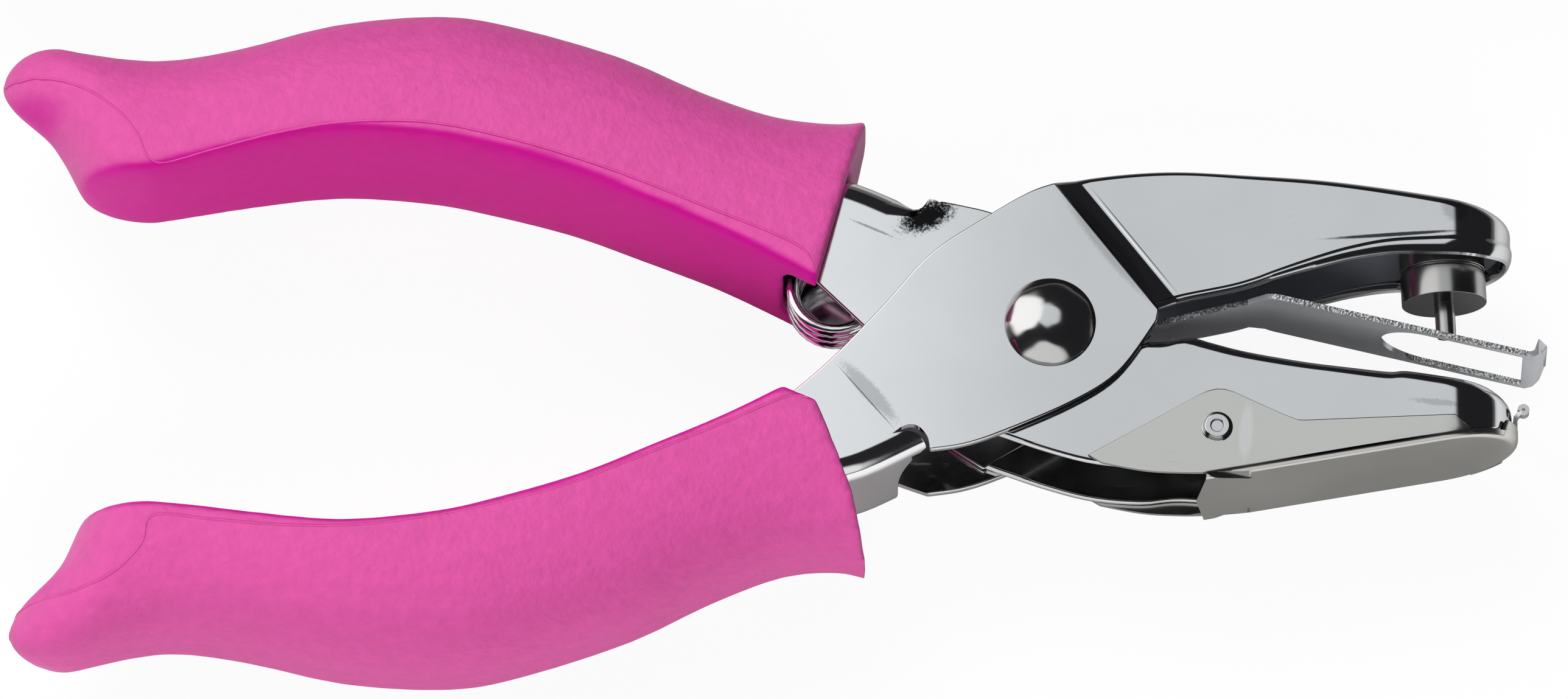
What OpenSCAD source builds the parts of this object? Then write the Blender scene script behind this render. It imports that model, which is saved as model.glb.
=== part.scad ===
// Hand punch with sprung plier handles and soft grips, lying on its side.
// +X runs from the pivot to the jaws, +Y from the lower handle to the upper one,
// +Z along the pivot rivet. All lengths are in millimetres.

/* [Levers] */
// Thickness of the pressed steel of both levers
sheet_t = 1; // [0.8:0.1:1.4]
// Outer width of both jaw channels
jaw_w = 12.7; // [11.5:0.1:14]
// Running gap between the cheeks of one lever and those of the other
cheek_gap = 0.1; // [0.06:0.01:0.2]
// Distance from the pivot to the middle of the die, along X
reach = 37; // [33:0.5:42]
// Height of the die face below the pivot
die_drop = 4.6; // [4:0.1:6]
// Downward slope of the die face towards the nose, in degrees
die_slope = 8; // [5:0.5:12]
// Turn of the upper jaw from open to shut, in degrees
close_angle = 11; // [9:0.1:11.5]
// Height of the upper jaw's web over the pivot, at its crown
jaw_crown = 15.6; // [15:0.1:16.5]
// Radius of the relief notch where each handle's web ends
notch_r = 1.7; // [1:0.1:2.2]
// Extra turn of the lower handle, in degrees
low_handle_turn = 2; // [1:0.1:2.5]
// Shift of the lower handle towards the upper one
low_handle_shift = 0.8; // [0:0.1:1.5]

/* [Pivot] */
// Diameter of the rivet's shaft
rivet_d = 5; // [4:0.1:6]
// Diameter of the domed head
head_d = 8.7; // [7.5:0.1:10]
// Height of the domed head
head_h = 2.2; // [1.6:0.1:2.8]
// Diameter of the closed end on the far side
tail_d = 7.8; // [7:0.1:9]
// Height of the closed end on the far side
tail_h = 1.2; // [0.8:0.1:1.6]
// Wall of the spacer sleeve inside the lower lever
spacer_wall = 1.1; // [0.8:0.1:1.5]
// Radial clearance round the rivet
rivet_clear = 0.05; // [0.03:0.01:0.1]

/* [Punch] */
// Diameter of the punch holder
holder_d = 8; // [7:0.1:8.2]
// Diameter of the tenon that is staked in the web
tenon_d = 4.4; // [3.6:0.1:5]
// Diameter of the punch pin
pin_d = 1.9; // [1.5:0.1:2.4]
// Length of the pin below its holder
pin_out = 3.3; // [3:0.1:3.6]
// Depth of the V cut in the pin's tip
pin_vee = 0.5; // [0.3:0.1:0.7]
// Gap between the holder and the die face when the jaws are shut
stop_gap = 1.6; // [1.2:0.05:2]
// Outer diameter of the die ring
die_d = 6; // [5:0.1:7]
// Thickness of the die ring
die_t = 1.5; // [1.2:0.1:2]
// Radial clearance between the pin and the die
die_clear = 0.09; // [0.06:0.01:0.12]

/* [Stripper] */
// Thickness of the stripper plate
strip_t = 0.8; // [0.6:0.1:1]
// Width of its front arm
strip_w = 10; // [9.6:0.1:10.4]
// Width of its rear arm
strip_rear_w = 6.8; // [5.5:0.1:8]
// Width of the slot that the holder passes through
slot_w = 8.5; // [8.3:0.1:8.8]
// Height of the lip at its front end
lip_h = 1.6; // [1:0.1:2.2]
// Size of the ears that hold it in the lower lever, along the arm
ear_len = 2; // [1.5:0.1:2.5]

/* [Chip tray] */
// Thickness of the tray's sheet
tray_t = 0.5; // [0.4:0.05:0.6]
// Clearance between the tray and the lower jaw
tray_clear = 0.08; // [0.05:0.01:0.12]
// Distance from the pivot to the tray's hinge, along X
hinge_x = 15.6; // [14:0.1:17]
// Depth of the tray's hinge below the pivot
hinge_y = 10.1; // [9.6:0.1:10.6]
// Diameter of the tray's hinge pin
hinge_d = 2; // [1.6:0.1:2.4]
// Diameter of the rolled rims of the hinge pin
rim_d = 2.8; // [2.6:0.1:3.4]
// Diameter of the thumb tab
tab_d = 1.5; // [1.2:0.1:2]

/* [Return spring] */
// Diameter of the spring wire
wire_d = 1.3; // [1:0.05:1.5]
// Mean diameter of the coil
coil_d = 8.1; // [7.5:0.1:8.4]
// Pitch of the coil
coil_pitch = 1.8; // [1.75:0.05:2]
// Full turns of the coil, besides the part turn between its legs
coil_turns = 3; // [2:1:3]
// Place of the coil's axis behind the pivot, along X
coil_x = 20; // [19:0.1:21]
// Height of the coil's axis over the pivot
coil_y = 4.9; // [4.6:0.1:5.4]
// Length of the leg in the upper handle
upper_leg = 13; // [10:0.5:13.5]
// Length of the leg in the lower handle
lower_leg = 23.5; // [18:0.5:24]

/* [Grips] */
// Clearance between a grip and the handle in it
grip_clear = 0.25; // [0.15:0.05:0.4]
// Height of the pivot's middle over the surface that the punch lies on
rest_h = 11.4; // [10.8:0.1:11.5]
// Share by which the lower grip's inner face lies deeper than the upper one's
low_inner = 0.06; // [0:0.01:0.08]
// Flare of the lower grip's crest at its mouth
low_flare = 1; // [0:0.1:1.5]
// Drop of the lower grip's crest at its tail
low_tail = 0.8; // [0:0.1:1]
// Share of a grip's depth at which the handle's web lies
web_share = 0.6; // [0.55:0.01:0.63]
// Share of a grip's depth at which the handle's open edge lies
open_share = 0.06; // [0.03:0.01:0.1]

/* [Hidden] */

steel = "silver";
grip_pink = "hotpink";
fine = 64;

// Half widths, measured from the middle plane.
jaw_h = jaw_w / 2;
jaw_in = jaw_h - sheet_t;
cheek_in = jaw_h + cheek_gap;
cheek_out = cheek_in + sheet_t;
tray_in = jaw_h + tray_clear;
tray_out = tray_in + tray_t;

// The nose of each jaw is round about the punch.
nose_x = reach + jaw_h;

// Die face, and where the open upper jaw carries the punch for it.
die_at = [reach, -die_drop];
die_up = [sin(die_slope), cos(die_slope)];
punch_at = turned(die_at + stop_gap * die_up, close_angle);
punch_lean = close_angle - die_slope;

function turned(p, a) = [p[0] * cos(a) - p[1] * sin(a), p[0] * sin(a) + p[1] * cos(a)];
function low(line) = [for (p = line) turned([p[0], -p[1]], low_handle_turn)
    + [0, low_handle_shift]];
function backwards(line) = [for (i = [len(line) - 1 : -1 : 0]) line[i]];
function unit(v) = v / norm(v);
function side(v) = [-v[1], v[0]];

// Direction of a line at its point i, and the line moved sideways by d.
function along(line, i) = unit(line[min(i + 1, len(line) - 1)] - line[max(i - 1, 0)]);
function moved(line, d) = [for (i = [0 : len(line) - 1]) line[i] + d * side(along(line, i))];
function ribbon(line, d) = concat(line, backwards(moved(line, d)));

// Smooth curve through the given rows of numbers, n steps to each span.
function spline_row(a, b, c, d, t) = 0.5 * (2 * b + (c - a) * t
    + (2 * a - 5 * b + 4 * c - d) * t * t + (3 * b - a - 3 * c + d) * t * t * t);
function smooth(rows, n) = let (last = len(rows) - 1) concat(
    [for (i = [0 : last - 1], k = [0 : n - 1])
        spline_row(rows[max(i - 1, 0)], rows[i], rows[i + 1], rows[min(i + 2, last)], k / n)],
    [rows[last]]);

// Sections of a grip, from its mouth to its tail, on the upper handle:
// the parting point, the crest point, the fall of the inner face below the parting,
// the half width, and the bow of the section towards the mouth.
grip_rows = [
    [-21.7, 4.3, -16.9, 21.8, 1.0, 10.0, 0],
    [-24.5, 6.0, -19.6, 21.4, 1.2, 10.0, 0],
    [-30.8, 9.2, -25.6, 22.0, 1.2, 10.2, 0],
    [-37.7, 12.1, -32.6, 24.4, 1.2, 10.7, 0],
    [-44.6, 15.2, -40.2, 27.8, 1.7, 11.2, 0],
    [-52.8, 17.6, -50.4, 30.8, 1.9, 11.6, 0],
    [-58.3, 18.6, -57.3, 31.8, 1.8, 11.7, 0],
    [-66.8, 18.7, -67.2, 30.9, 1.2, 11.4, 0],
    [-74.9, 17.5, -76.5, 28.5, 1.1, 10.6, 0],
    [-80.4, 16.4, -84.6, 27.5, 1.2, 9.8, 0.6],
    [-84.8, 15.5, -93.4, 28.8, 1.3, 9.2, 1.3]
];
grip_end = [-91.2, 15.4, -98.1, 24.7, 1, 0, 0.7];

// The lower grip is a little shallower, with a wider mouth and a lower tail.
function shallower(r, back, drop) = [r[0] + low_inner * (r[2] - r[0]),
    r[1] + low_inner * (r[3] - r[1]), r[2] - back, r[3] + drop, r[4], r[5], r[6]];
low_rows = [for (i = [0 : len(grip_rows) - 1]) let (m = i == 0 ? low_flare : i == 1 ? low_flare / 2 : 0)
    shallower(grip_rows[i], m, m + (i > 9 ? low_tail / 2 : 0))];
low_end = shallower(grip_end, 0.2, low_tail);

// Rings of a grip: its smooth length, then the rounding of its tail.
ring_sides = 28;
function rounded_row(r, e, a) = let (t = r + (e - r) * sin(a))
    [t[0], t[1], t[2], r[3] + (e[3] - r[3]) * (1 - cos(a)), t[4], r[5] * cos(a), t[6]];
function all_rows(rows, end) = concat(smooth(rows, 3),
    [for (a = [18, 36, 54, 68, 79, 86]) rounded_row(rows[len(rows) - 1], end, a)]);
function power(x, p) = sign(x) * pow(abs(x), 2 / p);
function ring_point(r, a) = let (
    line = [r[2] - r[0], r[3] - r[1]],
    outer = sin(a) >= 0,
    p = outer ? 2.4 : 3,
    v = (outer ? norm(line) : r[4]) * power(sin(a), p),
    w = max(v, 0) / norm(line),
    at = [r[0], r[1]] + v * unit(line) + [r[6] * 4 * w * (1 - w), 0])
    [at[0], at[1], r[5] * power(cos(a), p)];
function ring(r) = [for (k = [0 : ring_sides - 1]) ring_point(r, 360 * k / ring_sides)];
up_rings = [for (r = all_rows(grip_rows, grip_end)) ring(r)];
low_rings = [for (r = all_rows(low_rows, low_end)) ring(r)];

// Middle of the whole tool seen along Z, where the origin lies.
lip_x = nose_x + 3.3;
tail_x = min([for (r = up_rings, p = r) p[0]]);
top_y = max([for (r = up_rings, p = r) p[1]]);
foot_y = min([for (r = low_rings, p = r) low([p])[0][1]]);
mid = [(lip_x + tail_x) / 2, (top_y + foot_y) / 2];

// Handles: web line and open edge, taken from the grips' sections.
function share_point(r, f) = [r[0] + f * (r[2] - r[0]), r[1] + f * (r[3] - r[1])];
web_end = [-14.3, 13.2];
function web_of(rows) = smooth(concat([web_end, [-17.8, 14.7], [-21.6, 15.7]],
    [for (i = [2 : 9]) share_point(rows[i], web_share)]), 2);
open_start = [-24.2, 6.6];
function open_of(rows) = smooth(concat([open_start],
    [for (i = [2 : 9]) share_point(rows[i], open_share)]), 2);
web_up = web_of(grip_rows);
open_up = open_of(grip_rows);
web_low = low(web_of(low_rows));
open_low = low(open_of(low_rows));

// Cheek of the lower lever: its edge round the back, and its edge from the throat
// over to the end of the upper handle's web.
cheek_back = smooth([open_start, [-20.4, 2.9], [-15.6, -1.9], [-11.1, -6.9],
    [-5.6, -10.7], [0.5, -12.9]], 3);
cheek_front = smooth([[10.2, -1.5], [9.5, 0.1], [6.1, 5], [1.9, 7.9], [-4.6, 10.9],
    [-8.1, 11.9], [-11.5, 12.4], web_end], 3);

// Cheek of the upper lever, and the bend that steps the jaw in between the cheeks.
step_out = [[0.5, 13.9], [10.2, 1.3]];
step_in = [[3.4, 14.7], [12.3, 2.3]];
web_start = [-1.9, 13.1];
top_cheek = concat(
    smooth([low([open_start])[0], [-20.4, -3.4], [-15.5, 1.9], [-11.1, 6.9], [-5.6, 10.7],
        web_start], 3),
    step_out,
    smooth([[10.2, 0.8], [9.7, -0.4], [6.3, -5], [1.9, -7.9], [-4.6, -10.8], [-8.1, -12],
        [-11.5, -12.4], web_low[0]], 3));

// Upper jaw, open: top line from the step to the nose, and the open edge back.
jaw_up_top = concat(
    smooth([step_in[0], [8, jaw_crown - 0.2], [12.5, jaw_crown], [18.6, jaw_crown - 0.3],
        [reach - 11.5, jaw_crown - 0.8], [reach - 4.7, jaw_crown - 1.8],
        [nose_x - 4.2, jaw_crown - 3], [nose_x - 1.2, jaw_crown - 3.8]], 3),
    [[nose_x - 0.3, jaw_crown - 4.3], [nose_x, jaw_crown - 5.1]]);
jaw_up_low = smooth([[nose_x, 8.1], [nose_x - 2, 7.2], [reach + 0.5, 7.2], [reach - 4.5, 7.2],
    [reach - 8.2, 6.7], [reach - 11.5, 5.9], [reach - 15.6, 4.7], [reach - 19.3, 3.5],
    step_in[1]], 3);

// Lower jaw: top line from the nose back to the throat, and the edge over the tray.
die_half = holder_d / 2 - 0.4;
die_run = [cos(die_slope), -sin(die_slope)];
jaw_low_top = concat(
    [[nose_x, -die_drop - 3.3], [nose_x - 0.7, -die_drop - 1.9]],
    [die_at + die_half * die_run, die_at - die_half * die_run],
    smooth([die_at - die_half * die_run - [1.6, -0.1], [reach - 9, -3.8], [24, -3.3],
        [18.5, -2.3], [15.1, -1.4], [13.3, -0.9], [11.7, -1.3]], 3));
tray_slope = 9.8;
function tray_y(x) = -14.4 + (x - 18.6) * tan(tray_slope);
tray_gap = 0.3;
function wall_y(x) = tray_y(x) + tray_t + tray_gap;
jaw_low_edge = concat([[-9, -9]], smooth([[0.5, -12.9], [4, -13.4], [8.6, -13.8], [12, -13.5],
    [18.6, wall_y(18.6)]], 3), [[nose_x, wall_y(nose_x)]]);

// Chip tray: its hinge, and the outline of one side wing.
hinge_at = [hinge_x, -hinge_y];
wing_line = concat(
    smooth([[3.5, -12.8], [hinge_x - 5, -8.7], hinge_at + [-1.5, 3.4], hinge_at + [0, 3.8],
        hinge_at + [1.6, 3.4], [hinge_x + 4.4, -8.1], [hinge_x + 7.5, -9.3]], 3),
    [[reach + 0.9, -8.8], [reach + 1.7, -9.4], [reach + 1.9, tray_y(reach + 1.9)]],
    [[13.7, tray_y(13.7)], [12.8, -14.4]]);

// Stripper: middle line from the hook over the spacer to the lip.
spacer_r = rivet_d / 2 + rivet_clear + spacer_wall;
hook_r = spacer_r + 0.1 + strip_t / 2;
arm_slope = 14.4;
arm_start = [hook_r + 2, 0.35];
function arm_y(x) = arm_start[1] + (x - arm_start[0]) * tan(arm_slope);
strip_slope = 13.3;
strip_bend = [20.4, 3.6];
tip_x = nose_x + 1.4;
strip_tip = [tip_x, strip_bend[1] - (tip_x - strip_bend[0]) * tan(strip_slope)];
strip_line = concat(
    [for (a = [160 : -20 : 20]) hook_r * [cos(a), sin(a)]],
    [[hook_r + 0.3, 0.6], [hook_r + 0.9, 0.25], arm_start],
    [[18.4, arm_y(18.4) - 0.1], [19.4, arm_y(19.4) - 0.25], strip_bend, [21.6, 3.38]],
    [strip_tip, strip_tip + [0.5, 0.05], strip_tip + [1, 0.4], [lip_x - 0.35, strip_tip[1] + lip_h]]);
ear_x = 6.9;

// Return spring: its legs, its turns and the tube round them.
coil_at = [-coil_x, coil_y];
coil_r = coil_d / 2;
leg_up = 57;
leg_down = -40;
coil_sweep = 360 * coil_turns + leg_up - leg_down;
coil_steps = 8 * coil_turns + 2;
coil_len = coil_pitch * coil_sweep / 360;
function coil_point(t) = let (a = leg_up - t * coil_sweep)
    [coil_at[0] + coil_r * cos(a), coil_at[1] + coil_r * sin(a), coil_len * (0.5 - t)];
coil_path = [for (k = [0 : coil_steps]) coil_point(k / coil_steps)];
function on_leg(p, a, s) = p + s * [sin(a), -cos(a), 0];
spring_path = concat(
    [for (s = [upper_leg, upper_leg - wire_d, upper_leg / 2, 1]) on_leg(coil_path[0], leg_up, -s)],
    coil_path,
    [for (s = [1, lower_leg / 2, lower_leg - wire_d, lower_leg])
        on_leg(coil_path[coil_steps], leg_down, s)]);
wire_sides = 6;
function way(i) = unit(spring_path[min(i + 1, len(spring_path) - 1)] - spring_path[max(i - 1, 0)]);
function wire_ring(i) = let (w = way(i), u = unit(cross(w, [0, 0, 1])), v = cross(u, w))
    [for (k = [0 : wire_sides - 1]) spring_path[i]
        + wire_d / 2 * (cos(360 * k / wire_sides) * u + sin(360 * k / wire_sides) * v)];
wire_rings = [for (i = [0 : len(spring_path) - 1]) wire_ring(i)];

// Least gap of the coil to itself, between points at least half a turn apart.
coil_gap = min([for (i = [0 : coil_steps - 4], j = [i + 4 : coil_steps])
    norm(coil_path[i] - coil_path[j])]) - wire_d;
echo(least_gap_of_the_spring_to_itself = coil_gap);

// Solid through a row of rings, closed at both ends. The far end of a grip isn't
// flat, so it is closed by strips that run across it.
function end_faces(n, from, across) = let (h = n / 2, q = n / 4) across
    ? concat([for (j = [-q : q - 2]) [from + h - 1 - j, from + (j + 1 + n) % n, from + (j + n) % n]],
        [for (j = [1 - q : q - 1]) [from + h - j, from + h - 1 - j, from + (j + n) % n]])
    : [[for (k = [n - 1 : -1 : 0]) from + k]];
module loft(rings, across = false) {
    n = len(rings[0]);
    last = len(rings) - 1;
    polyhedron([for (r = rings, p = r) p], concat(
        [[for (k = [0 : n - 1]) k]], end_faces(n, last * n, across),
        [for (i = [0 : last - 1], k = [0 : n - 1])
            [i * n + k, (i + 1) * n + k, (i + 1) * n + (k + 1) % n]],
        [for (i = [0 : last - 1], k = [0 : n - 1])
            [i * n + k, (i + 1) * n + (k + 1) % n, i * n + (k + 1) % n]]));
}

module spin_up(at, lean) { translate([at[0], at[1], 0]) rotate([-90, 0, lean]) children(); }
module both_sides() { children(); mirror([0, 0, 1]) children(); }
module flat(z0, z1) { translate([0, 0, z0]) linear_extrude(z1 - z0) children(); }
module across(half) { translate([0, 0, -half]) linear_extrude(2 * half) children(); }
module placed() { translate([-mid[0], -mid[1], rest_h]) children(); }
module bore(at, d, half) {
    translate([at[0], at[1], -half]) cylinder(h = 2 * half, d = d, $fn = fine);
}

// A bar whose nose is round about the punch, seen along Y.
module plan(half, from_x) {
    rotate([90, 0, 0]) linear_extrude(80, center = true) union() {
        translate([from_x, -half]) square([reach - from_x, 2 * half]);
        translate([reach, 0]) circle(half, $fn = fine);
    }
}

// Handle: two sides and a web, drawn from its web line and its open edge.
module handle(web, edge, turn, inner, outer) {
    both_sides() flat(inner, outer) polygon(concat(web, backwards(edge)));
    across(inner + 0.01) polygon(ribbon(web, turn * sheet_t));
}

module lower_jaw_lever() {
    color(steel) placed() difference() {
        union() {
            both_sides() flat(jaw_in, jaw_h) difference() {
                polygon(concat(cheek_back, cheek_front));
                translate(web_end + [1.3, -1.3]) circle(notch_r, $fn = fine);
            }
            handle(web_up, open_up, 1, jaw_in, jaw_h);
            difference() {
                intersection() {
                    across(jaw_h) polygon(concat([cheek_front[0], [4, -1]], jaw_low_edge,
                        jaw_low_top));
                    plan(jaw_h, -20);
                }
                intersection() {
                    across(jaw_in) polygon(concat(moved(jaw_low_top, sheet_t),
                        [[11.7, 5], [-30, 5], [-30, -30], [nose_x, -30]]));
                    plan(jaw_in, -30);
                }
            }
        }
        bore([0, 0], rivet_d + 2 * rivet_clear, cheek_out);
        bore(hinge_at, hinge_d + 2 * rivet_clear, cheek_out);
        spin_up(die_at, -die_slope) cylinder(h = 5, d = die_d, center = true, $fn = fine);
        across(cheek_in) translate([ear_x, arm_y(ear_x)]) rotate(arm_slope)
            square([ear_len + 0.1, strip_t + 0.1], center = true);
    }
}

// One wall of the bend between the cheek and the jaw.
module step_wall() {
    hull() {
        flat(cheek_in, cheek_out) polygon([step_out[0], step_out[1], step_out[1] - [0.01, 0.01],
            step_out[0] - [0.01, 0.01]]);
        flat(jaw_in, jaw_h) polygon([step_in[0], step_in[1], step_in[1] + [0.01, 0.01],
            step_in[0] + [0.01, 0.01]]);
    }
}

module upper_jaw_lever() {
    color(steel) placed() difference() {
        union() {
            both_sides() flat(cheek_in, cheek_out) difference() {
                polygon(top_cheek);
                translate(web_low[0] + [1.3, 1.4]) circle(notch_r, $fn = fine);
            }
            both_sides() step_wall();
            handle(web_low, open_low, -1, cheek_in, cheek_out);
            across(cheek_in + 0.01) polygon([web_start, step_out[0], step_out[0] - [0, sheet_t],
                web_start - [-0.3, sheet_t]]);
            hull() {
                across(cheek_out) polygon([step_out[0], step_out[0] - [0.01, 0],
                    step_out[0] - [0, sheet_t]]);
                across(jaw_h) polygon([step_in[0], step_in[0] + [0.01, 0],
                    step_in[0] - [0, sheet_t]]);
            }
            difference() {
                intersection() {
                    across(jaw_h) polygon(concat(jaw_up_top, jaw_up_low));
                    plan(jaw_h, -20);
                }
                intersection() {
                    across(jaw_in) polygon(concat(moved(jaw_up_top, -sheet_t),
                        [[nose_x, -10], [-10, -10], [-10, step_in[0][1] - sheet_t]]));
                    plan(jaw_in, -30);
                }
            }
        }
        bore([0, 0], rivet_d + 2 * rivet_clear, 30);
        spin_up(punch_at, punch_lean) cylinder(h = 30, d = tenon_d + 0.02, $fn = fine);
    }
}

module pivot_rivet() {
    color(steel) placed() {
        bore([0, 0], rivet_d, cheek_out + 0.1);
        translate([0, 0, cheek_out + 0.05]) intersection() {
            ball = (head_d * head_d / 4 + head_h * head_h) / (2 * head_h);
            translate([0, 0, head_h - ball]) sphere(ball, $fn = fine);
            cylinder(h = head_h, d = head_d, $fn = fine);
        }
        translate([0, 0, -cheek_out - 0.05 - tail_h])
            cylinder(h = tail_h, d1 = tail_d - 1, d2 = tail_d, $fn = fine);
    }
}

module pivot_spacer() {
    color(steel) placed() difference() {
        bore([0, 0], 2 * spacer_r, jaw_in - 0.05);
        bore([0, 0], rivet_d + 2 * rivet_clear, jaw_in);
    }
}

module punch_holder() {
    under_web = concat(moved(jaw_up_top, -sheet_t - 0.02), [[nose_x, -9], [3, -9]]);
    color(steel) placed() difference() {
        union() {
            intersection() {
                spin_up(punch_at, punch_lean) union() {
                    cylinder(h = 2.8, d = holder_d, $fn = fine);
                    cylinder(h = 12, d = holder_d - 0.5, $fn = fine);
                    translate([0, 0, 3.1]) cylinder(h = 12, d = holder_d, $fn = fine);
                }
                across(jaw_in) polygon(under_web);
            }
            intersection() {
                spin_up(punch_at, punch_lean) cylinder(h = 20, d = tenon_d, $fn = fine);
                across(jaw_in) polygon(concat(moved(jaw_up_top, -0.1), [[nose_x, 6], [3, 6]]));
            }
        }
        spin_up(punch_at, punch_lean) translate([0, 0, -1])
            cylinder(h = 6, d = pin_d + 0.02, $fn = fine);
    }
}

module punch_pin() {
    color(steel) placed() spin_up(punch_at, punch_lean) difference() {
        translate([0, 0, -pin_out]) cylinder(h = pin_out + 4.9, d = pin_d, $fn = 32);
        translate([0, 0, -pin_out]) rotate([45, 0, 0])
            cube([2 * pin_d, 1.41 * pin_vee, 1.41 * pin_vee], center = true);
    }
}

module die_ring() {
    color(steel) placed() spin_up(die_at, -die_slope) difference() {
        translate([0, 0, -die_t]) cylinder(h = die_t + 0.1, d = die_d - 0.02, $fn = fine);
        cylinder(h = 10, d = pin_d + 2 * die_clear, center = true, $fn = fine);
    }
}

module stripper_plate() {
    color(steel) placed() {
        difference() {
            intersection() {
                across(strip_w) polygon(concat(moved(strip_line, strip_t / 2),
                    backwards(moved(strip_line, -strip_t / 2))));
                rotate([90, 0, 0]) linear_extrude(40, center = true) offset(r = 1.2) offset(delta = -1.2)
                    polygon([[-9, -strip_rear_w / 2], [18.6, -strip_rear_w / 2], [21, -strip_w / 2],
                        [lip_x - 1.2, -strip_w / 2], [lip_x + 0.1, -strip_w / 2 + 2],
                        [lip_x + 0.1, strip_w / 2 - 2], [lip_x - 1.2, strip_w / 2],
                        [21, strip_w / 2], [18.6, strip_rear_w / 2], [-9, strip_rear_w / 2]]);
            }
            rotate([90, 0, 0]) linear_extrude(40, center = true) union() {
                translate([reach - 5.9 + slot_w / 2, 0]) circle(d = slot_w, $fn = fine);
                translate([reach - 5.9 + slot_w / 2, -slot_w / 2])
                    square([tip_x - reach + 5.5 - slot_w / 2, slot_w]);
            }
        }
        translate([ear_x, arm_y(ear_x), 0]) rotate(arm_slope)
            cube([ear_len, strip_t, 2 * jaw_h - 0.04], center = true);
        translate([15.2, arm_y(15.2) + strip_t / 2 - 0.1, 0]) rotate(arm_slope)
            scale([2.8, 0.5, 1]) sphere(1, $fn = 24);
    }
}

module chip_tray() {
    tub_line = [[13.7, tray_y(13.7)], [nose_x + 1, tray_y(nose_x + 1)]];
    color(steel) placed() difference() {
        union() {
            both_sides() flat(tray_in, tray_out) polygon(wing_line);
            intersection() {
                across(tray_out) polygon(ribbon(tub_line, tray_t));
                plan(tray_out, 0);
            }
            difference() {
                intersection() {
                    across(4) polygon([[reach, tray_y(reach) + 0.1], [nose_x + 1, tray_y(nose_x + 1) + 0.1],
                        [nose_x + 1, -8.6], [nose_x + 1, -7.9], [reach, -7.9]]);
                    plan(tray_out, 0);
                }
                plan(tray_in, 0);
            }
            across(1.6) polygon([[nose_x + 0.1, -9], [nose_x + 0.55, -9], [nose_x + 1.3, -6.6],
                [nose_x + 0.8, -6.4]]);
            across(2.4) translate([nose_x + 1, -6.4]) circle(d = tab_d, $fn = 20);
        }
        bore(hinge_at, hinge_d + 2 * rivet_clear, 20);
    }
}

module tray_hinge_pin() {
    color(steel) placed() difference() {
        union() {
            bore(hinge_at, hinge_d, tray_out + 0.1);
            both_sides() translate([hinge_at[0], hinge_at[1], tray_out + 0.05])
                cylinder(h = 0.45, d1 = rim_d, d2 = rim_d - 0.5, $fn = fine);
        }
        both_sides() translate([hinge_at[0], hinge_at[1], tray_out - 0.8])
            cylinder(h = 2, d = 1.2, $fn = fine);
    }
}

module return_spring() {
    color(steel) placed() loft(wire_rings);
}

// Grip: the lofted solid, less the handle's room and the spring's way in at its mouth.
module grip(web, edge, half, pocket) {
    difference() {
        intersection() {
            children();
            cube([400, 400, 2 * rest_h], center = true);
        }
        across(half + grip_clear) offset(delta = grip_clear) polygon(concat(
            [web[0] + [4, 0]], web, backwards(edge),
            [[edge[0][0], 0], [0, 0]]));
        across(jaw_in) translate([-pocket, -10]) square([pocket, 20]);
    }
}

module upper_grip() {
    color(grip_pink) placed() grip(web_up, open_up, jaw_h, coil_x + coil_r + wire_d / 2 + 0.2)
        loft(up_rings, true);
}

module lower_grip() {
    color(grip_pink) placed() difference() {
        grip(web_low, open_low, cheek_out, coil_x + coil_r + 3.2)
            translate([0, low_handle_shift, 0]) rotate(low_handle_turn) mirror([0, 1, 0])
                loft(low_rings, true);
        across(20) polygon([[-24.9, 0], [-24.9, -6.9], [-21.9, -8.1], [-17.3, -19.4],
            [-15, -19.4], [-15, 0]]);
    }
}

lower_jaw_lever();
upper_jaw_lever();
pivot_rivet();
pivot_spacer();
punch_holder();
punch_pin();
die_ring();
stripper_plate();
chip_tray();
tray_hinge_pin();
return_spring();
upper_grip();
lower_grip();
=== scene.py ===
import math

import bmesh
import bpy
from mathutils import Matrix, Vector


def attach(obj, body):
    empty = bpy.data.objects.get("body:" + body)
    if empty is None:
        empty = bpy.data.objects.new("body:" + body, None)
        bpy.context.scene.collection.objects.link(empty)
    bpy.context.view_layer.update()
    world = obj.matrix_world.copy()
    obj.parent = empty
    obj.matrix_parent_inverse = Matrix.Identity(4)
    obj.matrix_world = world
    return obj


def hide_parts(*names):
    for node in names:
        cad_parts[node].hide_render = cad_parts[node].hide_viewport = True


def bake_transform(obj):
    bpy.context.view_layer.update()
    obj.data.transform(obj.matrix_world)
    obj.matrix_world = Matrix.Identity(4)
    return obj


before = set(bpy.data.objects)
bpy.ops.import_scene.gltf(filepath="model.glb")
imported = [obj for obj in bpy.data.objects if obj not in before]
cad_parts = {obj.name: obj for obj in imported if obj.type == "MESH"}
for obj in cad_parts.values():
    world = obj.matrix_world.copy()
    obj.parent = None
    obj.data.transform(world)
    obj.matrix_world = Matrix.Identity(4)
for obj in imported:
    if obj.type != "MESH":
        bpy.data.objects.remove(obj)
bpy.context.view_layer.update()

# Camera: the photograph is taken from far away, a little below the flat side, with the
# punch lying on that side. It looks at the middle of the tool from two and a half metres.
MM = 0.001
camera_data = bpy.data.cameras.new("studio_camera")
camera_data.sensor_width = 36
camera_data.lens = 611.4
camera_data.clip_start = 0.1
camera_data.clip_end = 20
camera = bpy.data.objects.new("studio_camera", camera_data)
camera.location = (0.000809, -0.76187, 2.3924)
camera.rotation_euler = (math.radians(17.75), 0, 0)
bpy.context.collection.objects.link(camera)
bpy.context.scene.camera = camera
bpy.context.scene.view_settings.view_transform = "Standard"

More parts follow.
